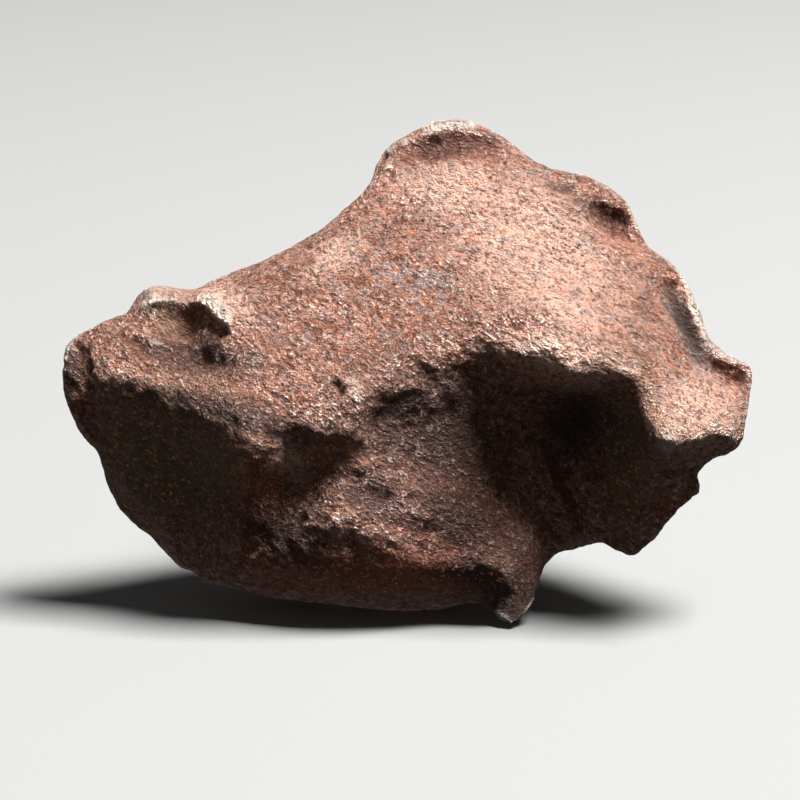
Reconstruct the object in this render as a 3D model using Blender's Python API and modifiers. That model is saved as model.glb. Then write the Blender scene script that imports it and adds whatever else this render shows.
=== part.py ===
"""An iron meteorite: one lump of nickel-iron, 42 mm across, that stands on a small flat spot.

The lump is a sphere drawn out to the meteorite's outline and then worked like clay. Its shape is given in
a face frame, in millimetres: U runs right and V up along the broad front face, and W comes out of it. At
the end the face leans back, and the underside is drawn down and cut flat where the lump rests.

Run it with: blender --background --python part.py
"""

import math
from collections import namedtuple

import bmesh
import bpy
import numpy as np
from mathutils import Matrix, noise

MM = 0.001
LEAN_DEG = 14.0
SPHERE_CUTS = 7
CURVE_STEPS = 12
RUN_STEPS = 24
VOXEL = 0.25
RELAX = 0.5
RELAX_ROUNDS = 2
TRIANGLES = 9600
FLAT_SPOT_CUT = 0.7

# The foot, a low swelling of the underside below the centre of mass: its place right of and behind the
# face frame's origin, its half width, its drop, and the height below which it reaches.
FOOT = (1.8, 4.0)
FOOT_WIDTH = 4.5
FOOT_DROP = 1.3
UNDERSIDE = -8.0

SHEET_EASE = 0.5
SWELL_SPACING = 2.2
SWELL_HEIGHT = 0.22
DRIFT_SPACING = 4.0
DRIFT = 1.0
NOISE_SEED = 7

# Rounding of the rim, seen across the edge: the face is full height this far in from the outline.
FRONT_ROUNDING = 2.8
BACK_ROUNDING = 6.5
RIM_KEPT = 0.9

# The outline of the broad face, clockwise from its left end.
OUTLINE = [
    # left end and the step up to the left crest
    (-21.0, -0.9), (-20.9, 0.9), (-20.4, 2.0), (-19.2, 2.6), (-18.1, 3.1), (-17.1, 3.4), (-16.6, 4.2),
    (-16.0, 4.9), (-15.2, 5.2), (-14.0, 5.1), (-13.1, 4.9), (-12.5, 5.1),
    # long slope up to the top lobe
    (-11.8, 5.5), (-10.2, 6.0), (-8.5, 6.8), (-6.9, 7.6), (-5.2, 8.6), (-3.8, 9.8), (-2.7, 10.9),
    (-2.0, 11.8), (-1.9, 12.4), (-1.4, 13.5), (-0.3, 14.4), (0.8, 15.1), (2.0, 15.6), (3.7, 15.7),
    # right shoulder, down to the right tip
    (4.6, 15.4), (6.0, 14.6), (7.0, 13.8), (7.9, 13.1), (9.1, 12.5), (11.3, 12.0), (12.7, 11.3),
    (13.7, 10.6), (14.4, 9.0), (15.0, 7.7), (15.9, 7.0), (16.8, 6.2), (17.5, 5.2), (17.9, 3.9),
    (18.3, 2.7), (18.8, 1.6), (19.7, 0.9), (20.9, 0.5), (21.5, -0.1),
    # nose, tooth and spike at the right
    (21.2, -1.3), (20.9, -2.6), (20.6, -4.0), (19.9, -5.0), (18.8, -5.4), (18.0, -6.0), (17.9, -6.6),
    (18.3, -7.3), (18.0, -7.8), (17.1, -8.3), (16.3, -9.3), (15.5, -10.4), (14.6, -11.3), (14.0, -11.8),
    (13.4, -11.5), (12.6, -10.9), (11.9, -10.7), (11.0, -11.0), (9.9, -11.2), (9.0, -11.7), (8.4, -12.6),
    # nub and underside
    (8.2, -13.7), (7.7, -14.8), (6.8, -15.5), (6.0, -15.5), (5.5, -14.9), (5.1, -14.4), (3.7, -14.2),
    (2.0, -14.4), (0.0, -14.6), (-2.0, -14.6), (-4.0, -14.5), (-6.1, -14.3),
    (-8.0, -14.2), (-10.5, -13.6), (-12.3, -13.3), (-12.8, -13.0), (-13.2, -12.4),
    # lower left edge
    (-13.7, -12.4), (-14.8, -11.4), (-15.5, -10.5), (-17.3, -9.0), (-18.1, -7.7), (-18.7, -6.3),
    (-18.8, -5.2), (-19.5, -4.5), (-20.0, -3.9), (-20.5, -2.7), (-20.9, -1.8),
]

# Heights of the broad forms: places (U, V) and the surface's W there. A smooth sheet runs through them.
RIM_SPOTS = [
    (2.0, 15.6, -4.0), (9.0, 12.5, -3.0), (15.0, 7.7, -2.2), (18.0, 4.0, -0.6),
    (21.3, -0.8, 0.6), (20.8, -3.4, 1.2), (18.0, -6.5, 0.4), (14.0, -11.8, -1.4),
    (10.5, -11.1, -3.0), (6.5, -15.5, 1.4), (2.0, -14.4, -3.0), (-4.0, -14.6, -3.6),
    (-9.0, -13.9, -3.4), (-13.0, -12.6, -2.8), (-18.8, -6.0, -2.0), (-21.0, -0.5, -0.2),
    (-14.0, 5.0, -0.6), (-6.0, 8.0, -1.6),
]

FRONT_SPOTS = [
    # top lobe
    (2.5, 14.8, -2.4), (0.0, 12.0, -1.6), (5.0, 12.5, -1.6), (2.5, 11.0, -0.5),
    # upper flank, which leans away, and the dim swelling in its middle
    (-4.0, 8.5, 0.2), (0.0, 8.0, 0.8), (2.5, 8.5, 0.9), (5.5, 8.5, 0.9), (8.0, 10.5, -0.9),
    (11.0, 11.0, -1.5), (13.8, 9.0, -1.6), (-8.0, 5.5, 1.8), (-4.0, 5.0, 2.5), (0.0, 4.5, 2.8),
    (2.5, 6.8, 2.0), (2.5, 4.6, 2.8), (5.2, 5.8, 2.9), (8.0, 6.0, 2.5), (12.0, 6.0, 1.0),
    (15.0, 6.0, -0.3), (-10.6, 4.4, 2.0), (-9.3, 3.4, 2.9), (-7.0, 2.5, 3.1), (-3.0, 1.8, 3.8),
    (1.0, 2.4, 4.4), (4.5, 2.8, 4.8),
    # brow
    (7.6, 4.3, 3.9), (7.4, 2.9, 5.1), (9.2, 1.9, 5.6), (12.0, 1.1, 5.2), (14.3, 0.4, 4.6),
    (12.0, 3.2, 3.4), (16.0, 2.2, 2.1), (17.8, 3.5, 0.4),
    # crest from the brow down to the left, and the upper edge of the left hollow
    (0.8, 0.6, 4.9), (-1.2, -0.3, 5.0), (-3.0, -1.6, 5.1), (-3.4, -3.4, 4.9), (-6.0, -3.4, 4.7),
    (-9.4, -5.1, 4.4), (-11.8, -3.2, 3.8), (-15.0, -1.1, 2.7), (-18.5, 0.0, 2.0),
    # nose
    (14.9, -1.0, 4.7), (14.9, -3.0, 5.4), (15.3, -4.4, 5.9), (16.8, -1.2, 3.5), (18.2, -0.4, 2.3),
    (17.2, -4.3, 5.4), (17.6, -3.0, 4.4), (19.2, -2.8, 3.5), (19.4, -4.1, 4.3), (20.2, -1.2, 1.6),
    (16.2, -6.6, 2.4), (18.2, -5.7, 2.6),
    # right hollow and the wall on its right
    (4.2, 0.2, 3.8), (4.4, -1.6, 3.0), (6.2, 0.8, 4.1), (8.8, 0.2, 4.3), (8.0, -2.4, 0.8),
    (11.6, -0.6, 3.8), (11.0, -3.7, 0.2), (13.2, -3.0, 2.8), (13.0, -6.0, 1.4), (7.2, -5.0, 0.6),
    (10.5, -6.0, -0.8), (5.2, -5.0, 1.7), (5.8, -8.5, 1.0), (9.0, -9.5, -1.0), (12.2, -8.8, -0.8),
    (14.0, -10.4, -0.2), (15.6, -7.8, 1.2), (17.5, -7.2, 0.8),
    # band under the brow, belly and nub
    (0.6, -1.6, 4.2), (2.4, -1.6, 3.6), (0.2, -3.8, 3.5), (2.6, -4.0, 3.0), (-3.4, -5.2, 4.1),
    (0.0, -6.3, 3.3), (-3.4, -6.8, 3.6), (-5.0, -5.6, 3.6), (2.8, -6.5, 2.7), (-4.4, -9.0, 3.8),
    (-2.0, -9.0, 3.8), (0.6, -9.2, 3.3), (3.2, -9.2, 2.5), (-3.0, -11.4, 2.9), (0.0, -11.4, 2.7),
    (3.6, -11.2, 1.8), (6.4, -11.5, 1.8), (6.8, -13.8, 1.0),
    # valley and the ridge left of it
    (-6.8, -5.8, 2.6), (-7.4, -7.6, 2.4), (-8.2, -10.0, 1.8), (-9.7, -7.0, 2.7), (-9.8, -8.6, 1.9),
    (-10.4, -10.8, 0.8),
    # left hollow and left end
    (-13.5, -5.0, 0.9), (-12.0, -7.6, -0.2), (-16.5, -3.3, 0.8), (-15.2, -7.6, -0.8),
    (-13.0, -10.8, -1.2), (-17.0, -7.8, -1.0), (-18.5, -4.0, 0.0), (-19.7, -1.0, 1.1),
    (-20.0, 0.9, 0.4), (-15.8, 1.8, 1.9), (-12.5, 0.6, 2.4), (-13.2, 2.8, 1.6), (-15.0, 4.2, 1.3),
]

BACK_SPOTS = [
    (0.0, 0.0, -11.0), (8.0, 2.0, -10.4), (-8.0, 0.0, -9.0), (-15.0, -2.0, -6.4), (15.0, 0.0, -7.4),
    (2.0, 10.0, -8.6), (-12.0, -8.0, -7.6), (-4.0, -10.0, -11.2), (2.0, -11.0, -11.0),
    (7.0, -9.0, -9.8), (6.8, -14.4, -3.0), (13.0, -8.0, -6.6), (19.0, -2.0, -3.6),
    (-19.0, -1.0, -4.0), (2.0, 14.5, -6.4), (11.0, 9.0, -7.2), (-6.0, 6.0, -7.4),
]

# A thumbprint, the scoop that air melts out of falling iron: it has a round floor and a crisp rim.
Print = namedtuple("Print", "u v along across turn depth")

# A narrow ridge or groove along a line of points. A groove has a negative height.
Crest = namedtuple("Crest", "height width points")

FRONT_PRINTS = [
    # pit under the upper right rim, and the faint dimple before it
    Print(12.8, 8.9, 2.4, 1.2, -30, 1.5),
    Print(13.5, 9.2, 1.3, 0.8, -40, 2.2),
    Print(9.3, 11.0, 1.9, 0.8, -20, 0.35),
    # pits under the left crest
    Print(-13.8, 1.1, 1.2, 0.7, -10, 0.2),
    Print(-12.0, 0.3, 1.1, 0.6, -10, 0.3),
    Print(-16.1, 1.5, 0.9, 0.7, 0, 0.3),
    # notch in the brow and the pit in the crest left of it
    Print(7.0, 2.3, 1.3, 0.9, -10, 0.5),
    Print(-4.1, -1.0, 0.8, 0.5, -20, 0.4),
]

FRONT_CRESTS = [
    # left crest and the hollow under it, and the crest where the brow bends down
    Crest(1.1, 0.6, [(-16.0, 4.3), (-14.4, 4.6), (-12.9, 4.6), (-11.7, 4.0), (-10.8, 3.1)]),
    Crest(-0.5, 0.7, [(-13.6, 3.2), (-12.4, 2.6), (-11.4, 1.8)]),
    Crest(0.4, 0.7, [(-3.4, -0.6), (-2.7, -1.8), (-3.2, -3.6)]),
    # rim of the top lobe and the crescent under it
    Crest(0.7, 0.5, [(0.2, 14.4), (1.8, 15.1), (3.6, 15.2), (5.2, 14.7)]),
    Crest(-0.9, 0.9, [(0.6, 13.3), (2.0, 13.9), (3.8, 14.0), (5.4, 13.4)]),
    # groove and rolled rim above the nose
    Crest(-1.4, 0.75, [(16.3, 4.7), (16.8, 3.2), (17.5, 1.7), (18.6, 0.3), (19.6, -0.4), (20.5, -0.9)]),
    Crest(0.8, 0.45, [(17.2, 5.2), (17.8, 3.6), (18.5, 1.7), (19.8, 0.4)]),
    # fold along the left end
    Crest(-0.6, 0.5, [(-19.3, 0.4), (-19.3, -2.0), (-18.8, -4.2)]),
    # flutes in the right hollow
    Crest(0.7, 0.7, [(7.4, -4.8), (8.4, -7.0), (9.4, -9.5), (10.0, -10.8)]),
    Crest(0.5, 0.6, [(10.2, -5.5), (11.0, -8.0), (11.6, -10.2)]),
    # tooth below the nose
    Crest(0.7, 0.5, [(16.6, -7.2), (17.6, -7.3)]),
]

BACK_PRINTS = [
    Print(-14.5, 0.0, 4.4, 3.4, 10, 1.3),
    Print(-13.0, -7.8, 4.2, 3.6, -30, 1.3),
    Print(-6.5, 4.2, 4.2, 3.0, 25, 1.3),
    Print(-5.8, -3.2, 4.6, 3.8, 0, 1.6),
    Print(-4.6, -10.3, 4.0, 3.0, 8, 1.2),
    Print(2.2, 9.8, 4.2, 3.6, 40, 1.5),
    Print(3.0, 2.0, 4.6, 3.8, -20, 1.6),
    Print(3.4, -6.0, 4.4, 3.6, 20, 1.4),
    Print(10.4, 6.6, 4.2, 3.2, -35, 1.4),
    Print(11.6, -0.6, 4.0, 3.6, 10, 1.5),
    Print(12.2, -7.2, 3.8, 3.2, 30, 1.3),
    Print(18.0, -2.4, 2.6, 2.6, 0, 0.9),
]


def start_clean():
    """Removes what Blender's startup scene holds."""
    for obj in list(bpy.data.objects):
        bpy.data.objects.remove(obj, do_unlink=True)


def closed_curve(points, steps):
    """A smooth closed line through the points, as an array of steps places for each of its spans."""
    p = np.array(points, float)
    before, after, beyond = np.roll(p, 1, 0), np.roll(p, -1, 0), np.roll(p, -2, 0)
    t = (np.arange(steps) / steps)[None, :, None]
    p, before, after, beyond = (q[:, None, :] for q in (p, before, after, beyond))
    span = (
        2 * p
        + (after - before) * t
        + (2 * before - 5 * p + 4 * after - beyond) * t**2
        + (3 * p - before - 3 * after + beyond) * t**3
    )
    return (span / 2).reshape(-1, 2)


def reach_towards(angles, line):
    """How far the outline lies from the face frame's origin in each direction."""
    bearing = np.arctan2(line[:, 1], line[:, 0])
    order = np.argsort(bearing)
    return np.interp(angles, bearing[order], np.hypot(*line.T)[order], period=2 * math.pi)


def distance_to(places, line):
    """Each place's distance to the nearest point of a dense line."""
    nearest = np.full(len(places), np.inf)
    for point in line:
        nearest = np.minimum(nearest, ((places - point) ** 2).sum(1))
    return np.sqrt(nearest)


def reach_in(places, feature):
    """0 at a feature's centre and 1 on the ellipse of its half widths."""
    turn = math.radians(feature.turn)
    du, dv = (places - (feature.u, feature.v)).T
    along = (du * math.cos(turn) + dv * math.sin(turn)) / feature.along
    across = (dv * math.cos(turn) - du * math.sin(turn)) / feature.across
    return np.hypot(along, across)


def bending(places, spots):
    """The thin plate's kernel between places and spots."""
    square = ((places[:, None] - spots[None]) ** 2).sum(-1)
    return square * np.log(square + 1e-9)


def sheet(places, spots):
    """The height of the smooth sheet that runs through the spots."""
    at, height = np.split(np.array(spots), [2], axis=1)
    plane = np.column_stack([np.ones(len(at)), at])
    stiff = bending(at, at) + SHEET_EASE * np.eye(len(at))
    system = np.block([[stiff, plane], [plane.T, np.zeros((3, 3))]])
    weights = np.linalg.solve(system, np.append(height, np.zeros(3)))
    return bending(places, at) @ weights[:-3] + weights[-3] + places @ weights[-2:]


def prints(places, features):
    """The depth of the deepest thumbprint at each place."""
    depths = [f.depth * np.clip(1 - reach_in(places, f) ** 2, 0, None) for f in features]
    return np.max(depths, axis=0)


def crests(places, features):
    """The summed height of ridges and grooves."""
    total = np.zeros(len(places))
    for f in features:
        line = open_curve(f.points)
        total += f.height * np.exp(-((distance_to(places, line) / f.width) ** 2))
    return total


def open_curve(points):
    """Places close together along straight runs between the points."""
    p = np.array(points, float)
    t = np.linspace(0, 1, RUN_STEPS + 1)[:, None]
    return np.concatenate([a + (b - a) * t for a, b in zip(p[:-1], p[1:])])


def rounded(inset, rounding):
    """0 on the rim and 1 where the inset reaches the rounding, on a quarter of a circle."""
    inward = np.clip(inset / rounding, 0, 1)
    return np.sqrt(1 - (1 - inward) ** 2)


def drifted(places):
    """The places shifted a little, each way by turns, so that a round rim reads as a natural one."""
    flat = np.column_stack([places, np.zeros(len(places))]) / DRIFT_SPACING
    return places + DRIFT * np.array([noise.noise_vector(place)[:2] for place in flat])


def unevenness(places, side):
    """Low swells without order, a few millimetres apart and different on the two sides."""
    spread = np.column_stack([places, side * SWELL_SPACING]) / SWELL_SPACING
    return SWELL_HEIGHT * np.array([noise.noise(place) for place in spread])


def worked(ball):
    """Moves the unit sphere's points to the meteorite's surface, in the face frame, in millimetres."""
    noise.seed_set(NOISE_SEED)
    line = closed_curve(OUTLINE, CURVE_STEPS)
    across = ball[:, [0, 2]]
    angles = np.arctan2(across[:, 1], across[:, 0])
    places = across * reach_towards(angles, line)[:, None]
    inset = distance_to(places, line)
    clear = np.clip(inset / RIM_KEPT, 0, 1)
    clear = clear * clear * (3 - 2 * clear)
    rim = sheet(places, RIM_SPOTS)
    front = sheet(places, FRONT_SPOTS)
    front += clear * (crests(places, FRONT_CRESTS) - prints(places, FRONT_PRINTS))
    back = sheet(places, BACK_SPOTS) + clear * prints(drifted(places), BACK_PRINTS)
    front = rim + rounded(inset, FRONT_ROUNDING) * (front - rim)
    back = rim + rounded(inset, BACK_ROUNDING) * (back - rim)
    w = np.where(ball[:, 1] < 0, front, back)
    w += clear * unevenness(places, np.sign(ball[:, 1]))
    return np.column_stack([places[:, 0], -w, places[:, 1]])


def lower_foot(bm):
    """Draws the underside down where the lump rests."""
    for vertex in bm.verts:
        if vertex.co.z < UNDERSIDE * MM:
            right = (vertex.co.x / MM - FOOT[0]) / FOOT_WIDTH
            behind = (vertex.co.y / MM - FOOT[1]) / FOOT_WIDTH
            vertex.co.z -= FOOT_DROP * MM * math.exp(-right * right - behind * behind)


def lean_back(bm):
    """Leans the face back, sets the underside on the floor and cuts the flat spot."""
    bm.transform(Matrix.Rotation(math.radians(-LEAN_DEG), 4, "X"))
    lower_foot(bm)
    places = np.array([v.co for v in bm.verts])
    low, high = places.min(0), places.max(0)
    middle = (low + high) / 2
    bm.transform(Matrix.Translation((-middle[0], -middle[1], -low[2] - FLAT_SPOT_CUT * MM)))
    everything = bm.verts[:] + bm.edges[:] + bm.faces[:]
    bmesh.ops.bisect_plane(bm, geom=everything, plane_co=(0, 0, 0), plane_no=(0, 0, 1), clear_inner=True)
    bmesh.ops.holes_fill(bm, edges=[e for e in bm.edges if e.is_boundary], sides=0)


def iron():
    """The metal under its thin brown rust."""
    material = bpy.data.materials.new("rusted_iron")
    material.use_nodes = True
    shader = material.node_tree.nodes["Principled BSDF"]
    shader.inputs["Base Color"].default_value = (0.16, 0.08, 0.055, 1)
    shader.inputs["Roughness"].default_value = 0.5
    shader.inputs["Metallic"].default_value = 0.7
    return material


def baked(obj):
    """The object's mesh with its modifiers worked in."""
    graph = bpy.context.evaluated_depsgraph_get()
    mesh = bpy.data.meshes.new_from_object(obj.evaluated_get(graph))
    obj.modifiers.clear()
    return mesh


def even_skin(obj):
    """Replaces the stretched sphere's skin by an even one."""
    remesh = obj.modifiers.new("even", "REMESH")
    remesh.mode = "VOXEL"
    remesh.voxel_size = VOXEL * MM
    relax = obj.modifiers.new("relaxed", "SMOOTH")
    relax.factor = RELAX
    relax.iterations = RELAX_ROUNDS
    obj.data = baked(obj)


def coarser_skin(obj):
    """Keeps about as many triangles as asked, closest together along ridges and rims."""
    decimate = obj.modifiers.new("coarser", "DECIMATE")
    decimate.ratio = TRIANGLES / (2 * len(obj.data.polygons))
    obj.data = baked(obj)


def build_meteorite():
    """The one solid, linked to its own collection."""
    collection = bpy.data.collections.new("iron_meteorite")
    bpy.context.scene.collection.children.link(collection)
    mesh = bpy.data.meshes.new("meteorite")
    obj = bpy.data.objects.new("meteorite", mesh)
    collection.objects.link(obj)

    bm = bmesh.new()
    bmesh.ops.create_icosphere(bm, subdivisions=SPHERE_CUTS, radius=1)
    shape = worked(np.array([v.co for v in bm.verts])) * MM
    for vertex, place in zip(bm.verts, shape):
        vertex.co = place
    bm.to_mesh(mesh)
    bm.free()

    even_skin(obj)
    coarser_skin(obj)
    bm = bmesh.new()
    bm.from_mesh(obj.data)
    lean_back(bm)
    bmesh.ops.recalc_face_normals(bm, faces=bm.faces)
    bm.to_mesh(obj.data)
    bm.free()
    obj.data.shade_smooth()
    obj.data.materials.append(iron())
    return obj


def main():
    start_clean()
    build_meteorite()


main()
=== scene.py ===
"""The iron meteorite as it looks: its grainy, rusted skin over the modelled solid, its light and camera.

The skin follows the solid and adds what is too fine for it. As in the solid, places on the broad face are
given in a face frame, in millimetres: U runs right and V up along the face, and W comes out of it.
"""

import math
from collections import namedtuple

import bpy
import numpy as np
from mathutils import Matrix, Vector, noise


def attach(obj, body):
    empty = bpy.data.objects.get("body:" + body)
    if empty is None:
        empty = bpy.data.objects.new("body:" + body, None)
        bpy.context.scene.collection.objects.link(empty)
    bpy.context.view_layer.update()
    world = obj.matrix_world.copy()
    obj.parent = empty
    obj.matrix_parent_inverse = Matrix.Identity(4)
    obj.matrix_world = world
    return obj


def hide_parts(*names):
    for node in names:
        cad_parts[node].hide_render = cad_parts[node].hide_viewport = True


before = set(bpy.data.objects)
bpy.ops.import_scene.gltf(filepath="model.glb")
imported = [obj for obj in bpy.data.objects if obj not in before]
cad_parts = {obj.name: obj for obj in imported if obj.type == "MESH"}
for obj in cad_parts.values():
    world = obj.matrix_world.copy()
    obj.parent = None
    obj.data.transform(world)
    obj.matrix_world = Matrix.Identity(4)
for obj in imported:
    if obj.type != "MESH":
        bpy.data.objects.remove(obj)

MM = 0.001
LEAN = math.radians(14)
FACE_ORIGIN = Vector((-0.19, -2.15, 15.14)) * MM
RIGHT = Vector((1, 0, 0))
UP = Vector((0, math.sin(LEAN), math.cos(LEAN)))
OUT = Vector((0, -math.cos(LEAN), math.sin(LEAN)))

NOISE_SEED = 7
VOXEL = 0.195
SMOOTHING = 2
STREAK_TURN = math.radians(-35)
STREAK_STRETCH = 1.35

# A small scoop with a round floor and a crisp rim: centre, half widths along and across, turn, depth.
Dent = namedtuple("Dent", "u v along across turn depth")

# A broad swelling with soft flanks, or a hollow where the height is negative.
Swell = namedtuple("Swell", "u v along across turn height")

# A narrow rib along a line of points, or a groove where the height is negative.
Rib = namedtuple("Rib", "height width points")

# A soft patch of the face: centre, half widths along and across, turn.
Patch = namedtuple("Patch", "u v along across turn")

DENTS = [
    # edge of the top lobe
    Dent(-1.2, 13.2, 0.5, 0.4, 0, 0.2), Dent(-0.9, 12.1, 0.4, 0.5, 0, 0.2),
    Dent(-0.5, 10.2, 0.7, 0.25, 0, 0.15), Dent(0.8, 11.0, 0.3, 0.2, 0, 0.1),
    # centre, with its dark mouth
    Dent(-4.2, -0.9, 0.6, 0.25, -35, 0.14), Dent(-3.8, -1.3, 0.3, 0.25, 0, 0.12),
    # below the left crest
    Dent(-16.0, 1.8, 0.7, 0.6, 0, 0.15), Dent(-14.3, 1.2, 0.5, 0.4, 0, 0.15),
    Dent(-13.3, 1.1, 0.4, 0.35, 0, 0.15), Dent(-10.8, 0.5, 0.6, 0.3, -20, 0.1),
    # belly
    Dent(0.4, -7.7, 0.5, 0.4, -30, 0.12), Dent(1.2, -8.5, 0.5, 0.3, -30, 0.12),
]

SWELLS = [
    # left crest: its dark side made wide and shallow, and the rough furrow and low ridge below it
    Swell(-11.8, 2.0, 1.2, 0.8, -45, 0.6), Swell(-13.4, 2.5, 2.0, 1.1, -20, -0.7),
    Swell(-12.4, 0.6, 2.6, 0.7, -8, -0.2), Swell(-15.6, 1.9, 1.2, 0.4, -25, 0.3),
    # under the brow
    Swell(9.4, 0.2, 3.6, 1.4, -12, 0.95),
    # valley above the belly
    Swell(-7.2, -5.6, 1.6, 1.2, 30, 0.3), Swell(-5.2, -3.7, 1.6, 0.8, -20, 0.25),
    # slope between the centre and the right hollow
    Swell(-0.6, -1.2, 2.0, 1.2, -25, 0.15), Swell(2.6, -4.6, 3.2, 1.8, -30, -0.4),
    # rough crescent under the top rim, and the pit at the upper right
    Swell(2.6, 13.8, 3.2, 0.7, 5, -0.1), Swell(11.9, 9.8, 1.4, 0.7, -30, -0.2),
    Swell(9.8, 11.2, 1.0, 0.35, -10, -0.15), Swell(13.3, 9.2, 1.0, 0.6, -40, 0.2),
]

RIBS = [
    # flutes in the right hollow
    Rib(0.2, 0.3, [(8.2, -5.2), (9.0, -7.2), (10.0, -9.6)]),
    Rib(-0.2, 0.3, [(9.0, -5.4), (9.8, -7.4), (10.8, -9.8)]),
]

SMOOTH_PATCHES = [
    Patch(-14.3, -5.8, 6.0, 5.0, 0),
    Patch(13.6, -5.0, 1.8, 5.5, 0),
    Patch(0.0, -12.6, 9.0, 1.5, 0),
    Patch(-4.5, -5.2, 2.4, 1.0, 35),
]

OLIVE_PATCHES = [
    Patch(-14.3, -6.2, 5.5, 5.0, 0),
    Patch(13.6, -5.5, 1.6, 5.5, 0),
    Patch(-13.2, 2.9, 2.2, 1.0, -20),
]

COOL_PATCHES = [
    Patch(16.5, 3.6, 0.6, 1.6, 12), Patch(17.9, 1.2, 0.6, 1.3, 35), Patch(0.5, 5.4, 3.2, 1.2, -20),
    Patch(-15.2, 4.6, 2.2, 1.0, -15),
]

# Painted shade: near-black brown laid where the face is dim or in shadow: right of the centre, on the
# belly and underside, along the left brow, under the top rim, in the upper right pit, at the left end and
# under the left crest.
PAINTED_SHADE_PATCHES = [
    Patch(2.6, -2.6, 2.6, 1.7, 75), Patch(0.6, -2.0, 1.6, 0.8, 20),
    Patch(1.8, -4.2, 5.8, 3.2, -30), Patch(3.5, -9.0, 5.0, 2.6, -30), Patch(-7.5, -10.0, 3.0, 1.6, -30),
    Patch(-1.6, -7.6, 2.4, 1.6, -20), Patch(-11.0, -2.4, 5.0, 1.0, -12), Patch(2.6, 13.8, 3.3, 0.8, 5),
    Patch(12.4, 9.5, 2.2, 0.9, -30), Patch(9.8, 11.2, 1.0, 0.4, -10),
    Patch(-20.2, 0.0, 0.6, 1.6, 0), Patch(4.2, -12.0, 2.2, 1.2, 0),
    Patch(-12.5, 0.8, 4.0, 1.2, -10),
]

PITTED_PATCHES = [
    Patch(0.4, 9.8, 1.6, 0.9, 0), Patch(-6.0, 5.6, 1.4, 0.9, 30), Patch(9.8, 7.8, 1.4, 1.1, -30),
    Patch(-15.8, 1.6, 2.2, 0.9, 0), Patch(-12.8, 0.8, 2.0, 0.8, -15), Patch(3.0, 14.0, 2.8, 0.7, 5),
    Patch(13.0, 9.0, 1.6, 1.2, -30), Patch(-9.0, -7.5, 1.6, 2.6, 0), Patch(-19.4, -1.0, 0.5, 3.0, 0),
]

RED_PATCHES = [
    Patch(0.0, -12.4, 10.0, 1.8, 0),
    Patch(3.5, -9.5, 3.0, 3.0, 0),
    Patch(-8.6, -8.5, 1.6, 3.0, 0),
    Patch(16.2, -8.8, 1.4, 1.2, 0),
    Patch(3.0, 13.8, 3.0, 0.9, 5), Patch(-20.0, -2.2, 0.7, 2.4, 0),
    Patch(13.0, 8.9, 1.8, 1.2, -30),
]

# Painted shadow: near-black laid on the nub under the belly, in the right hollow and in the groove inside
# the right rim.
PAINTED_SHADOW_PATCHES = [
    Patch(6.8, -14.6, 2.8, 3.0, 0), Patch(10.3, -3.2, 2.6, 2.4, 0),
    Patch(17.2, 2.5, 0.7, 3.0, 25),
]

# Painted light: pale salmon laid where the face is brightly lit: the right of the flank and under the
# brow, the nose, the top, the left crest, spots in the centre and the valley, and the lower left rim.
PAINTED_LIGHT_PATCHES = [
    Patch(8.0, 7.5, 6.0, 4.0, -35), Patch(9.5, 3.8, 3.5, 1.5, -25), Patch(17.6, -2.4, 2.8, 2.4, 0),
    Patch(3.0, 11.2, 3.6, 1.8, 0), Patch(-4.2, 6.9, 2.2, 1.0, 35),
    Patch(-10.8, 4.1, 2.2, 1.1, -40), Patch(-14.6, 4.6, 1.6, 0.6, -10), Patch(-3.0, -1.1, 0.6, 0.9, 20), Patch(-3.4, -3.2, 0.6, 0.4, 0),
    Patch(9.3, 0.8, 3.8, 1.5, -10), Patch(-7.2, -5.4, 1.2, 1.2, 0), Patch(-16.2, -8.9, 4.8, 0.5, -53),
]

# Painted highlights: near-white strips on the left crest, the top rim and the right rim, read into the
# mask of worn crests.
HIGHLIGHT_PATCHES = [
    Patch(-11.3, 3.9, 1.5, 0.5, -45), Patch(-15.6, 3.6, 0.9, 0.3, -50), Patch(2.9, 15.3, 2.2, 0.3, 5),
    Patch(17.7, 4.0, 1.8, 0.22, -70), Patch(16.6, 4.9, 0.4, 0.4, 0),
]


class Value:
    """A shader socket that takes part in plain sums."""

    def __init__(self, finish, socket):
        self.finish = finish
        self.socket = socket

    def __add__(self, other):
        return self.finish.sum("ADD", self, other)

    def __radd__(self, other):
        return self.finish.sum("ADD", other, self)

    def __sub__(self, other):
        return self.finish.sum("SUBTRACT", self, other)

    def __rsub__(self, other):
        return self.finish.sum("SUBTRACT", other, self)

    def __mul__(self, other):
        return self.finish.sum("MULTIPLY", self, other)

    def __rmul__(self, other):
        return self.finish.sum("MULTIPLY", other, self)


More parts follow.
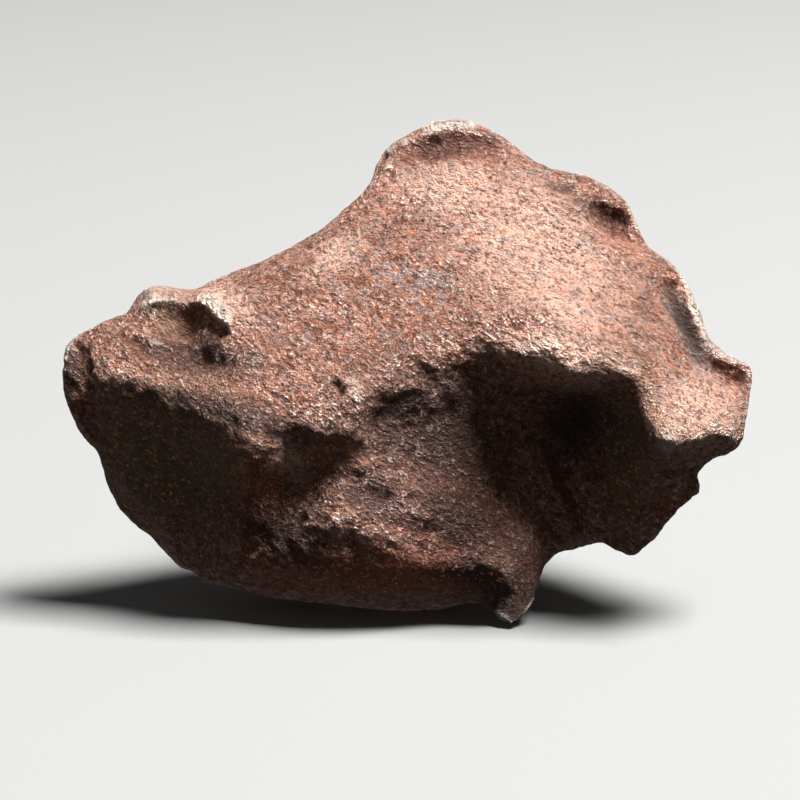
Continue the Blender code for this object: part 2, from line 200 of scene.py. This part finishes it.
class Finish:
    """A material's nodes, written as sums and named steps."""

    def __init__(self, name):
        self.material = bpy.data.materials.new(name)
        self.material.use_nodes = True
        self.tree = self.material.node_tree
        self.shader = self.tree.nodes["Principled BSDF"]

    def add(self, kind, settings, sockets, output=0):
        """A node of this kind, with its settings made first and then its sockets set or linked."""
        node = self.tree.nodes.new("ShaderNode" + kind)
        for name, value in settings.items():
            setattr(node, name, value)
        for name, value in sockets.items():
            self.feed(node.inputs[name], value)
        return Value(self, node.outputs[output])

    def feed(self, socket, value):
        """Links a value to a socket, or sets the socket where it is a plain number or colour."""
        if isinstance(value, Value):
            self.tree.links.new(value.socket, socket)
        else:
            socket.default_value = value

    def sum(self, operation, first, second):
        return self.add("Math", {"operation": operation}, {0: first, 1: second})

    def grain(self, place, scale, detail=2.0, roughness=0.55):
        """Noise about 0.5, with this many waves in a millimetre."""
        sockets = {"Vector": place, "Scale": scale, "Detail": detail, "Roughness": roughness}
        return self.add("TexNoise", {}, sockets)

    def step(self, value, low, high):
        """0 below low and 1 above high, with a smooth rise between them."""
        sockets = {"Value": value, "From Min": low, "From Max": high}
        return self.add("MapRange", {"interpolation_type": "SMOOTHSTEP"}, sockets)

    def blend(self, share, first, second):
        """A colour between the first and the second."""
        return self.add("Mix", {"data_type": "RGBA"}, {0: share, 6: first, 7: second}, output=2)

    def painted(self, name):
        """What the mesh stores for each point under this name."""
        return self.add("Attribute", {"attribute_name": name}, {}, output=2)


def colour(red, green, blue):
    return (red, green, blue, 1)


def in_face(points):
    """The points' U, V and W in the face frame, in millimetres."""
    turn = np.array([RIGHT, UP, OUT])
    return (points - np.array(FACE_ORIGIN)) @ turn.T / MM


def reach_in(places, feature):
    """0 at a feature's centre and 1 on the ellipse of its half widths."""
    turn = math.radians(feature.turn)
    du, dv = (places - (feature.u, feature.v)).T
    along = (du * math.cos(turn) + dv * math.sin(turn)) / feature.along
    across = (dv * math.cos(turn) - du * math.sin(turn)) / feature.across
    return np.hypot(along, across)


def patches(places, features):
    """How far each place lies in the soft patches."""
    return np.max([np.exp(-reach_in(places, f) ** 3) for f in features], axis=0)


def dents(places):
    depths = [f.depth * np.clip(1 - reach_in(places, f) ** 2, 0, None) for f in DENTS]
    return np.max(depths, axis=0)


def swells(places):
    return np.sum([f.height * np.exp(-reach_in(places, f) ** 2) for f in SWELLS], axis=0)


def ribs(places):
    total = np.zeros(len(places))
    for rib in RIBS:
        corners = np.array(rib.points, float)
        t = np.linspace(0, 1, 20)[:, None]
        line = np.concatenate([a + (b - a) * t for a, b in zip(corners[:-1], corners[1:])])
        near = np.min([np.hypot(*(places - point).T) for point in line], axis=0)
        total += rib.height * np.exp(-((near / rib.width) ** 2))
    return total


def waves(points, spacing, octaves=3):
    """Noise about 0, with swells this many millimetres apart."""
    return np.array([noise.fractal(p, 0.8, 2.1, octaves) for p in points / spacing])


def pebbles(points, spacing):
    """0 on the tops of round pebbles packed side by side, and up to about 1 in the gaps between them."""
    return np.array([noise.voronoi(p)[0][0] ** 2 for p in points / spacing])


def neighbours_mean(values, edges, count):
    """The mean of each point's neighbours."""
    total = np.zeros_like(values)
    np.add.at(total, edges[:, 0], values[edges[:, 1]])
    np.add.at(total, edges[:, 1], values[edges[:, 0]])
    return total / count[:, None]


def softened(points, edges, rounds):
    """The points drawn to their neighbours, round after round."""
    count = np.bincount(edges.ravel(), minlength=len(points))
    for _ in range(rounds):
        points = points + 0.6 * (neighbours_mean(points, edges, count) - points)
    return points


def store(mesh, name, values):
    attribute = mesh.attributes.new(name, "FLOAT", "POINT")
    attribute.data.foreach_set("value", values.astype(np.float32))


def fine_copy(node):
    """A new object with the solid's shape on a fine, even mesh."""
    skin = bpy.data.objects.new("meteorite_skin", node.data.copy())
    bpy.context.scene.collection.objects.link(skin)
    weld = skin.modifiers.new("welded", "WELD")
    weld.merge_threshold = 0.001 * MM
    rounder = skin.modifiers.new("rounder", "SUBSURF")
    rounder.levels = 1
    remesh = skin.modifiers.new("even", "REMESH")
    remesh.mode = "VOXEL"
    remesh.voxel_size = VOXEL * MM
    graph = bpy.context.evaluated_depsgraph_get()
    mesh = bpy.data.meshes.new_from_object(skin.evaluated_get(graph))
    skin.modifiers.clear()
    skin.data = mesh
    return skin


def points_of(mesh):
    values = np.empty(len(mesh.vertices) * 3)
    mesh.vertices.foreach_get("co", values)
    return values.reshape(-1, 3)


def normals_of(mesh):
    values = np.empty(len(mesh.vertices) * 3)
    mesh.vertex_normals.foreach_get("vector", values)
    return values.reshape(-1, 3)


def edges_of(mesh):
    values = np.empty(len(mesh.edges) * 2, dtype=np.int64)
    mesh.edges.foreach_get("vertices", values)
    return values.reshape(-1, 2)


def set_points(mesh, points):
    mesh.vertices.foreach_set("co", points.ravel())
    mesh.update()


def weathered(mesh):
    """Works the fine relief into the mesh and stores what the finish reads."""
    noise.seed_set(NOISE_SEED)
    edges = edges_of(mesh)
    points = softened(points_of(mesh), edges, SMOOTHING)
    set_points(mesh, points)
    normals = normals_of(mesh)

    local = in_face(points)
    places = local[:, :2]
    facing = np.clip(normals @ np.array(OUT) * 4, 0, 1)
    smooth = patches(places, SMOOTH_PATCHES) * facing
    smooth = np.maximum(smooth, 0.7 * np.clip(waves(points / MM, 9.0, 1) * 2, 0, 1) * (1 - facing))
    rough = (1 - 0.75 * smooth) * (0.7 + 0.3 * facing)

    along = places @ np.array([math.cos(STREAK_TURN), math.sin(STREAK_TURN)])
    across = places @ np.array([-math.sin(STREAK_TURN), math.cos(STREAK_TURN)])
    grain = np.column_stack([along / STREAK_STRETCH, across, local[:, 2]])

    warped = grain + 0.5 * np.array([noise.noise_vector(p) for p in grain / 1.1])
    relief = 0.16 * waves(points / MM, 4.0, 1) * rough
    relief += 0.14 * waves(points / MM, 1.9, 1) * rough
    relief += 0.09 * waves(grain, 0.9, 1) * rough
    relief -= 0.16 * pebbles(warped, 0.7) * rough
    relief += 0.07 * waves(grain, 0.45, 1) * rough
    relief += facing * (swells(places) + ribs(places) - dents(places))
    clear = np.clip(points[:, 2] / MM / 0.6, 0, 1)
    shaped = points + normals * (relief * clear * MM)[:, None]
    shaped[:, 2] = np.maximum(shaped[:, 2], 0)
    set_points(mesh, shaped)

    sunk = ((softened(shaped, edges, 10) - shaped) * normals).sum(1) / MM
    store(mesh, "sunk", np.clip(sunk / 0.10, -1, 1))
    broad = ((softened(points, edges, 60) - points) * normals).sum(1) / MM
    store(mesh, "broad", np.clip(broad / 0.25, -1, 1))
    store(mesh, "smooth", smooth)
    store(mesh, "olive", patches(places, OLIVE_PATCHES) * facing)
    store(mesh, "cool", patches(places, COOL_PATCHES) * facing)
    # painted shade patches
    store(mesh, "painted_shade", patches(places, PAINTED_SHADE_PATCHES) * facing)
    store(mesh, "pitted", patches(places, PITTED_PATCHES) * facing)
    store(mesh, "red", patches(places, RED_PATCHES) * facing)
    # painted shadow patches
    store(mesh, "painted_shadow", patches(places, PAINTED_SHADOW_PATCHES) * facing)
    # painted light patches
    store(mesh, "painted_light", patches(places, PAINTED_LIGHT_PATCHES) * facing)
    # painted highlight patches
    store(mesh, "wear_and_highlight", patches(places, HIGHLIGHT_PATCHES) * facing)


def rusted_iron():
    """Salmon and umber rust over dull metal: worn bright on crests, orange and dark in pits, with painted
    light, shade, shadow, highlights and glints laid in.
    """
    f = Finish("rusted_iron_skin")
    place = f.add("TexCoord", {}, {}, output="Object")
    stretch = {"Vector": place, "Rotation": (0, -STREAK_TURN, 0), "Scale": (STREAK_STRETCH * MM, MM, MM)}
    place = f.add("Mapping", {"vector_type": "TEXTURE"}, stretch)
    aside = f.add("VectorMath", {"operation": "ADD"}, {0: place, 1: (31, 17, 5)})
    sunk = f.painted("sunk")
    broad = f.painted("broad")
    smooth = f.painted("smooth")

    mottle = f.grain(place, 1.1, 3.0, 0.6)
    grit = f.grain(place, 3.6, 3.0, 0.6)
    hue = f.grain(aside, 1.7, 3.0, 0.65)
    dust = f.grain(place, 9.0, 3.0, 0.7)
    cloud = f.grain(aside, 0.4, 3.0)
    speck = f.grain(aside, 5.0, 2.0)
    bend = f.add("TexNoise", {}, {"Vector": place, "Scale": 2.0, "Detail": 2.0}, output=1)
    bend = f.add("VectorMath", {"operation": "MULTIPLY_ADD"}, {0: bend, 1: (0.4, 0.4, 0.4), 2: place})
    gap = f.add("TexVoronoi", {}, {"Vector": bend, "Scale": 2.2})
    small_gap = f.add("TexVoronoi", {}, {"Vector": bend, "Scale": 4.4})
    low = 0.5 * gap + 0.5 * small_gap
    high = 0.7 * dust + 0.6 * grit - 0.3 * low
    pit = f.step(speck + 0.15 * (cloud - 0.5) + 0.08 * f.painted("pitted"), 0.645, 0.70)

    skin = f.blend(f.step(mottle, 0.35, 0.65), colour(0.30, 0.125, 0.08), colour(0.52, 0.26, 0.185))
    skin = f.blend(0.4 * f.step(cloud, 0.4, 0.65), skin, colour(0.21, 0.10, 0.07))
    # painted light: lighter salmon where the face is brightly lit
    skin = f.blend((0.4 + 0.8 * mottle) * f.painted("painted_light"), skin, colour(0.95, 0.60, 0.47))
    slate = f.step(hue + 0.3 * (dust - 0.5) + 0.16 * f.painted("cool"), 0.54, 0.66) * 0.6
    skin = f.blend(slate, skin, colour(0.34, 0.30, 0.28))
    ochre = f.step(hue + 0.3 * (dust - 0.5), 0.43, 0.34) * 0.6
    skin = f.blend(ochre, skin, colour(0.60, 0.20, 0.08))
    skin = f.blend(0.8 * f.painted("olive"), skin, colour(0.24, 0.17, 0.10))
    skin = f.blend(0.65 * f.painted("red"), skin, colour(0.40, 0.095, 0.04))
    # painted shade: near-black brown where the face is dim or shadowed, which also takes the sheen and
    # the grain highlights off
    painted_shade = f.painted("painted_shade")
    skin = f.blend(0.88 * painted_shade, skin, colour(0.055, 0.025, 0.018))
    # painted highlights on the tops of the grains
    painted_light = f.step(high, 0.55, 0.66) * 0.9 * (1 - 0.8 * smooth) * (1 - 0.6 * painted_shade)
    skin = f.blend(painted_light, skin, colour(0.92, 0.68, 0.57))
    # painted shade in the gaps between the grains, where the bump is low
    painted_gap_shade = f.step(high, 0.50, 0.35) * (1 - 0.5 * smooth)
    skin = f.blend(0.8 * painted_gap_shade, skin, colour(0.09, 0.035, 0.02))
    skin = f.blend(0.75 * pit, skin, colour(0.08, 0.025, 0.014))
    rust = f.step(sunk + 0.5 * (hue - 0.5), 0.3, 0.9)
    skin = f.blend(rust * 0.7, skin, colour(0.16, 0.045, 0.022))
    # painted shadow: near-black on the nub, in the right hollow and in the right groove, with the sheen
    # dulled there
    painted_shadow = f.painted("painted_shadow")
    skin = f.blend(0.9 * painted_shadow, skin, colour(0.035, 0.024, 0.019))
    # painted glints: sparse bright orange specks in the smooth dim hollows
    painted_glint = f.step(f.grain(place, 5.0, 1.0) + 0.3 * (hue - 0.5), 0.64, 0.67) * smooth
    skin = f.blend(painted_glint, skin, colour(1.0, 0.46, 0.26))
    # bright wear on the crests and rims, with painted highlights on the left crest, the top rim and the
    # right rim
    wear_and_highlight = f.step(0.8 * (dust - 0.5) - 0.6 * sunk - 0.3 * broad + 0.8 * f.painted("wear_and_highlight"), 0.4, 1.1)
    skin = f.blend(wear_and_highlight * 0.85, skin, colour(0.94, 0.80, 0.68))

    metal = 0.5 + 0.4 * painted_light - 0.3 * rust + 0.2 * wear_and_highlight - 0.3 * ochre - 0.2 * painted_shade - 0.4 * painted_shadow
    gloss = 0.40 - 0.1 * painted_light + 0.25 * rust + 0.15 * painted_gap_shade - 0.1 * wear_and_highlight + 0.5 * painted_shadow
    height = 1.0 * grit + 0.6 * dust - 0.6 * low * (1 - 0.6 * smooth) - 0.4 * pit
    bump = f.add("Bump", {}, {"Strength": 1.0, "Distance": 0.00035, "Height": height})
    f.feed(f.shader.inputs["Base Color"], skin)
    f.feed(f.shader.inputs["Metallic"], metal)
    f.feed(f.shader.inputs["Roughness"], gloss)
    f.feed(f.shader.inputs["Normal"], bump)
    return f.material


def build_skin():
    skin = fine_copy(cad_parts["meteorite"])
    weathered(skin.data)
    skin.data.shade_smooth()
    skin.data.materials.clear()
    skin.data.materials.append(rusted_iron())
    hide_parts("meteorite")
    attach(skin, "root")


def build_floor():
    bpy.ops.mesh.primitive_plane_add(size=4)
    floor = bpy.context.object
    floor.name = "floor"
    f = Finish("pale_floor")
    f.shader.inputs["Base Color"].default_value = colour(0.30, 0.30, 0.295)
    f.shader.inputs["Roughness"].default_value = 0.9
    floor.data.materials.append(f.material)
    floor.visible_diffuse = False
    floor.visible_glossy = False


def softbox(name, direction, distance, size, power):
    """An area light that far from the meteorite, turned to it."""
    light = bpy.data.lights.new(name, "AREA")
    light.energy = power
    light.size = size
    lamp = bpy.data.objects.new(name, light)
    bpy.context.scene.collection.objects.link(lamp)
    towards = Vector(direction).normalized()
    lamp.location = FACE_ORIGIN + towards * distance
    lamp.rotation_euler = towards.to_track_quat("Z", "Y").to_euler()


def light_studio():
    bpy.context.scene.view_settings.view_transform = "Standard"
    softbox("key_light", (0.38, -0.08, 0.92), 0.9, 0.34, 25)
    world = bpy.data.worlds.new("studio")
    bpy.context.scene.world = world
    world.use_nodes = True
    background = world.node_tree.nodes["Background"]
    background.inputs["Color"].default_value = colour(1, 1, 1)
    background.inputs["Strength"].default_value = 0.075


def place_camera():
    """The photograph's view: 220 mm away, 14 degrees above the floor, 48.8 mm across."""
    camera = bpy.data.objects.new("camera", bpy.data.cameras.new("camera"))
    bpy.context.scene.collection.objects.link(camera)
    camera.data.sensor_width = 36
    camera.data.lens = 36 * 220 / 48.8
    camera.data.clip_start = 0.01
    target = FACE_ORIGIN + (RIGHT * -0.3 + UP * -1.83) * MM
    turn = Matrix((RIGHT, UP, OUT)).transposed()
    camera.matrix_world = Matrix.Translation(target + OUT * 220 * MM) @ turn.to_4x4()
    bpy.context.scene.camera = camera


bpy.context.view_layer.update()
place_camera()
light_studio()
build_floor()
build_skin()
